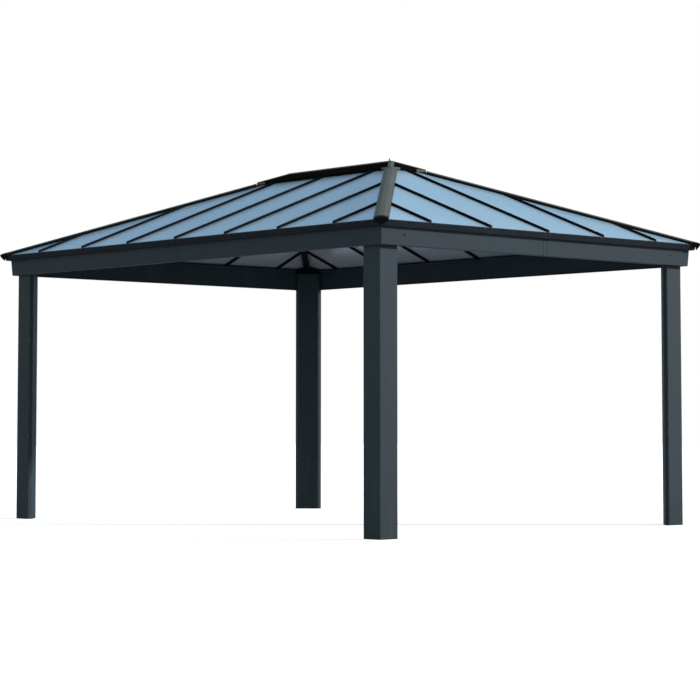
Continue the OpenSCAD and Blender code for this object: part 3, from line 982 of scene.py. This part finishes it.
@dataclass
class HipCaps:
    """Folded caps over the hips, with a moulded nose below, dark seals beside, and above them a dark bed and a dark
    plug that is a painted shadow under the vent corner.
    """

    width: float = 0.108
    rise: float = 0.024
    crown: float = 0.002
    sheet: float = 0.003
    nose_out: float = 0.036
    nose_t: float = 0.022
    nose_drop: float = 0.040
    nose_lean: float = 0.014
    tip_w: float = 0.016
    block: float = 0.024
    upper_gap: float = 0.006
    seal: float = 0.0004
    # Length of the dark plug painted as the shadow under the vent corner.
    shadow_plug: float = 0.0055
    bed: float = 0.100
    bed_h: float = 0.008
    seal_top: float = 0.004

    def line(self, inset: float) -> list[tuple[float, float]]:
        """Line over the cap from its left to its right edge, drawn in by a thickness."""
        fall = math.sin(math.atan(ROOF.rise / DIAG))
        w, r = self.width, self.rise
        side, mid = w / 2 - inset, w / 6
        foot, edge = -fall * side, r - fall * w / 2 - inset
        top = r + self.crown - fall * mid - inset
        return [(-side, foot), (-side, edge), (-mid, top), (mid, top), (side, edge), (side, foot)]

    def build(self, finishes: Finishes) -> None:
        """Builds a cap for each corner, and the noses.

        Args:
            finishes: The materials.
        """
        upper = DIAG * (ROOF.half_wid - ROOF.vent_reach - ROOF.corner_t) - self.upper_gap
        cap, cap_mark = eased(self.line(0.0) + self.line(self.sheet)[::-1], 0.0024, 3)
        block, block_mark = eased(self.line(0.0) + [(0.0, 0.0)], 0.002, 3)
        fall = math.sin(math.atan(ROOF.rise / DIAG)) * self.width / 2
        half, tip = self.width / 2, self.tip_w / 2
        plate_line = [(-half, -fall), (-half, self.rise - fall), (-half / 3, self.rise - fall / 3),
                      (half / 3, self.rise - fall / 3), (half, self.rise - fall), (half, -fall),
                      (tip, -self.nose_drop), (-tip, -self.nose_drop)]
        plate, plate_mark = eased(plate_line, 0.005, 4)
        noses, seals_and_shadow_plugs = Shell(), Shell()
        for corner in Corner:
            node = "hip_cap_" + corner.name.lower()
            shell = Shell()
            d = np.array([self.block, upper])[:, None]
            shell.skin(ROOF.on_hip(corner, d, cap[None, :, 0], cap[None, :, 1]), cap_mark)
            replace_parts(shell.piece(node + "_fold", finishes.cap, Slot.CAP), node)
            d = np.array([self.nose_t / 2 - self.nose_out, self.block])[:, None]
            noses.skin(ROOF.on_hip(corner, d, block[None, :, 0], block[None, :, 1]), block_mark)
            middle = plate.mean(axis=0)
            draw = np.array([0.93, 0.985, 1.0, 1.0])[:, None, None]
            shaped = middle + (plate[None] - middle) * draw
            d = np.array([0.0, 0.0016, 0.005, self.nose_t])[:, None] - self.nose_out
            lean = self.nose_lean * np.clip(-shaped[..., 1] / self.nose_drop, 0.0, 1.0)
            d = d + lean * np.array([1.0, 1.0, 1.0, 0.0])[:, None]
            noses.skin(ROOF.on_hip(corner, d, shaped[..., 0], shaped[..., 1]), plate_mark)
            d = np.array([self.block, upper])[:, None]
            for way in (-1.0, 1.0):
                edge = way * half
                strip = [(edge, -fall), (edge + way * self.seal, -fall),
                         (edge + way * self.seal, self.rise - fall - self.seal_top),
                         (edge, self.rise - fall - self.seal_top)]
                points, mark = eased(strip, 0.0001)
                seals_and_shadow_plugs.skin(ROOF.on_hip(corner, d, points[None, :, 0], points[None, :, 1]), mark)
            # The dark plug past the cap's upper end is a painted shadow: it fills the gap under the vent corner, which
            # lies in shade.
            d = np.array([upper, upper + self.shadow_plug])[:, None]
            seals_and_shadow_plugs.skin(ROOF.on_hip(corner, d, block[None, :, 0], block[None, :, 1]), block_mark)
            low = [(-half, -fall), (-half, self.bed_h - fall), (0.0, self.bed_h),
                   (half, self.bed_h - fall), (half, -fall), (0.0, 0.0)]
            bed, bed_mark = eased(low, 0.0005, 3)
            d = np.array([upper + self.shadow_plug, upper + self.bed])[:, None]
            seals_and_shadow_plugs.skin(ROOF.on_hip(corner, d, bed[None, :, 0], bed[None, :, 1]), bed_mark)
        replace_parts(noses.piece("hip_nose_mouldings", finishes.nose, Slot.NOSE), "hip_noses")
        seals_and_shadow_plugs.piece("hip_edge_seals_and_shadow_plugs", finishes.nose, Slot.NOSE)


@dataclass
class EasedCopies:
    """Stand-ins for plain CAD parts, with eased edges."""

    radius: float = 0.0012

    def build(self, finishes: Finishes) -> None:
        """Copies, merges and eases each node.

        Args:
            finishes: The materials.
        """
        corners = [c.name.lower() for c in Corner]
        sides = [s.name.lower() for s in Side]
        plan: list[tuple[str, bpy.types.Material, Slot, float]] = [
            ("post_brackets", finishes.dark, Slot.DARK, 0.003),
            ("ridge_beam", finishes.dark, Slot.DARK, 0.003),
            ("vent_ribs", finishes.dark, Slot.DARK, 0.0015),
            ("vent_corners", finishes.cap, Slot.CAP, 0.0008),
            ("vent_hip_strips", finishes.cap, Slot.CAP, 0.0012),
            ("vent_ridge_strip", finishes.cap, Slot.CAP, 0.0012),
            ("ridge_stud", finishes.cap, Slot.CAP, 0.002),
        ]
        plan += [("hip_rafter_" + c, finishes.dark, Slot.DARK, 0.003) for c in corners]
        plan += [("vent_cover_" + s, finishes.vent, Slot.VENT, 0.0012) for s in sides]
        for node, finish, slot, radius in plan:
            self.copy(node, finish, slot, radius)

    def copy(self, node: str, finish: bpy.types.Material, slot: Slot, radius: float) -> None:
        """Makes one eased copy.

        Args:
            node: The CAD node.
            finish: The material.
            slot: The record's slot; not used.
            radius: Width of the eased edge.
        """
        mesh = frame["nodes"][node].data.copy()
        mesh.name = node + "_eased"
        shape = bmesh.new()
        shape.from_mesh(mesh)
        bmesh.ops.remove_doubles(shape, verts=shape.verts, dist=1e-5)
        bmesh.ops.dissolve_limit(shape, angle_limit=math.radians(1.0), verts=shape.verts, edges=shape.edges)
        bmesh.ops.recalc_face_normals(shape, faces=shape.faces)
        shape.to_mesh(mesh)
        shape.free()
        mesh.materials.clear()
        mesh.materials.append(finish)
        obj = bpy.data.objects.new(node + "_eased", mesh)
        bpy.context.scene.collection.objects.link(obj)
        bevel = obj.modifiers.new("eased_edges", "BEVEL")
        bevel.width = radius
        bevel.segments = 2
        bevel.limit_method = "ANGLE"
        bevel.angle_limit = math.radians(30.0)
        bevel.harden_normals = True
        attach(obj, BODY)
        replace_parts(obj, node)
        LOG.info("%s: %d faces", obj.name, len(mesh.polygons))


@dataclass
class Panes:
    """Twin-wall panes, which keep their CAD shape."""

    def dress(self, finishes: Finishes) -> None:
        """Gives every pane its finish.

        Args:
            finishes: The materials.
        """
        for side in Side:
            node = frame["nodes"]["panes_" + side.name.lower()]
            finish = finishes.pane_x if side.value % 2 == 0 else finishes.pane_y
            node.data.materials.clear()
            node.data.materials.append(finish)
            LOG.info("%s: dressed", node.name)


@dataclass
class HeaderBolts:
    """Domed bolt heads in the outer face of the headers, near each corner."""

    from_corner: float = 0.27
    radius: float = 0.009
    height: float = 0.005
    z: float = 2.205

    def build(self, finishes: Finishes) -> None:
        """Builds two bolts on each short side.

        Args:
            finishes: The materials.
        """
        shell = Shell()
        low, top = ROOF.header_z, ROOF.header_top(ROOF.header_u)
        u = ROOF.header_u + ROOF.header_lean * (top - self.z) / (top - low)
        for side in (Side.RIGHT, Side.LEFT):
            reach = ROOF.side_half(side) - self.from_corner
            base = ROOF.on_side(side, 0.0, 0.0, 0.0)
            right = ROOF.on_side(side, -1.0, 0.0, 0.0) - base
            slope = np.array([0.0, -ROOF.header_lean, top - low])
            slope /= np.linalg.norm(slope)
            ahead = ROOF.on_side(side, 0.0, slope[1], slope[2]) - base
            outwards = np.cross(right, ahead)
            spots = ROOF.on_side(side, np.array([-reach, reach]), u, self.z)
            fixed = np.stack([right, ahead, outwards])[None].repeat(2, 0)
            shell.copies(dome_rings(self.radius, self.height, 14), np.concatenate([fixed, spots[:, None]], 1))
        shell.piece("header_bolts", finishes.nose, Slot.DARK)


# ---------- studio ----------


@dataclass(frozen=True)
class Studio:
    """Camera, floor and soft light."""

    eye: tuple[float, float, float] = (13.991, -12.553, 0.864)
    tilt: float = 3.789
    turn: float = 47.82
    lens: float = 113.41
    shift_y: float = -0.1095
    sun_turn: float = 47.0
    sun_height: float = 20.0
    sun_power: float = 3.7
    sun_width: float = 3.0
    low_sky: RGBA = (0.80, 0.90, 0.86, 1.0)
    high_sky: RGBA = (0.42, 0.47, 0.62, 1.0)
    deep_sky: RGBA = (0.26, 0.42, 0.64, 1.0)
    deep_way: tuple[float, float, float] = (-0.68, 0.60, 0.42)
    deep_span: tuple[float, float] = (0.60, 0.97)
    sun_colour: tuple[float, float, float] = (0.93, 0.94, 1.0)
    floor_size: float = 90.0

    def camera(self) -> None:
        """Places the camera and makes it the scene's own."""
        data = bpy.data.cameras.new("camera")
        data.sensor_width = 36.0
        data.lens = self.lens
        data.shift_y = self.shift_y
        data.clip_end = 300.0
        obj = bpy.data.objects.new("camera", data)
        obj.location = self.eye
        obj.rotation_euler = (math.radians(90.0 + self.tilt), 0.0, math.radians(self.turn))
        bpy.context.scene.collection.objects.link(obj)
        bpy.context.scene.camera = obj

    def sun(self) -> None:
        """Adds the wide, low key light."""
        data = bpy.data.lights.new("key", "SUN")
        data.energy = self.sun_power
        data.angle = math.radians(self.sun_width)
        data.color = self.sun_colour
        obj = bpy.data.objects.new("key", data)
        a, h = math.radians(self.sun_turn), math.radians(self.sun_height)
        towards = Vector((math.cos(a) * math.cos(h), math.sin(a) * math.cos(h), math.sin(h)))
        obj.rotation_euler = towards.to_track_quat("Z", "Y").to_euler()
        obj.location = towards * 20.0
        bpy.context.scene.collection.objects.link(obj)

    def sky(self) -> None:
        """Makes the surroundings: plain white to look at, a soft cool dome as light."""
        world = bpy.data.worlds.new("surroundings")
        world.use_nodes = True
        w = Wiring(world.node_tree)
        up = w.node("SeparateXYZ", {0: w.node("TexCoord").outputs["Generated"]}).outputs[2]
        dome = w.mix(w.span(up, 0.0, 0.9), self.low_sky, self.high_sky)
        look = w.node("TexCoord").outputs["Generated"]
        away = w.node("VectorMath", {0: look, 1: self.deep_way}, operation="DOT_PRODUCT")
        dome = w.mix(w.span(away.outputs["Value"], *self.deep_span), dome, self.deep_sky)
        seen = w.node("LightPath").outputs["Is Camera Ray"]
        colour = w.mix(seen, dome, (1.0, 1.0, 1.0, 1.0))
        back = w.node("Background", {"Color": colour, "Strength": 1.0})
        w.tree.links.new(back.outputs[0], w.node("OutputWorld").inputs[0])
        bpy.context.scene.world = world

    def floor(self) -> None:
        """Lays a plain pale floor, clear from below, that throws back less light than it shows."""
        half = self.floor_size / 2
        mesh = bpy.data.meshes.new("floor")
        mesh.from_pydata([(-half, -half, 0), (half, -half, 0), (half, half, 0), (-half, half, 0)], [], [(0, 1, 2, 3)])
        material = bpy.data.materials.new("pale_floor")
        material.use_nodes = True
        w = Wiring(material.node_tree)
        seen = w.node("LightPath").outputs["Is Camera Ray"]
        shown = w.node("BsdfPrincipled", {"Base Color": (0.9, 0.9, 0.9, 1), "Roughness": 0.9, "Specular IOR Level": 0.0,
                                          "Emission Color": (1, 1, 1, 1), "Emission Strength": 0.5})
        quiet = w.node("BsdfDiffuse", {"Color": (0.50, 0.50, 0.52, 1)})
        both = w.node("MixShader", {0: seen, 1: quiet.outputs[0], 2: shown.outputs[0]})
        below = w.node("NewGeometry").outputs["Backfacing"]
        clear = w.node("BsdfTransparent")
        shown_above = w.node("MixShader", {0: below, 1: both.outputs[0], 2: clear.outputs[0]})
        w.tree.links.new(shown_above.outputs[0], w.node("OutputMaterial").inputs[0])
        mesh.materials.append(material)
        obj = bpy.data.objects.new("floor", mesh)
        bpy.context.scene.collection.objects.link(obj)

    def build(self) -> None:
        """Sets everything up."""
        self.camera()
        self.sun()
        self.sky()
        self.floor()
        bpy.context.scene.view_settings.view_transform = "Standard"
        LOG.info("studio ready")


def main() -> None:
    """Builds the pergola's pieces in order."""
    logging.basicConfig(level=logging.INFO, format="%(message)s")
    Studio().build()
    finishes = Finishes.build()
    Posts().build(finishes)
    Headers().build(finishes)
    EaveTrims().build(finishes)
    SlopeBars().build(finishes)
    HipCaps().build(finishes)
    EasedCopies().build(finishes)
    Panes().dress(finishes)
    HeaderBolts().build(finishes)


if __name__ == "__main__":
    main()
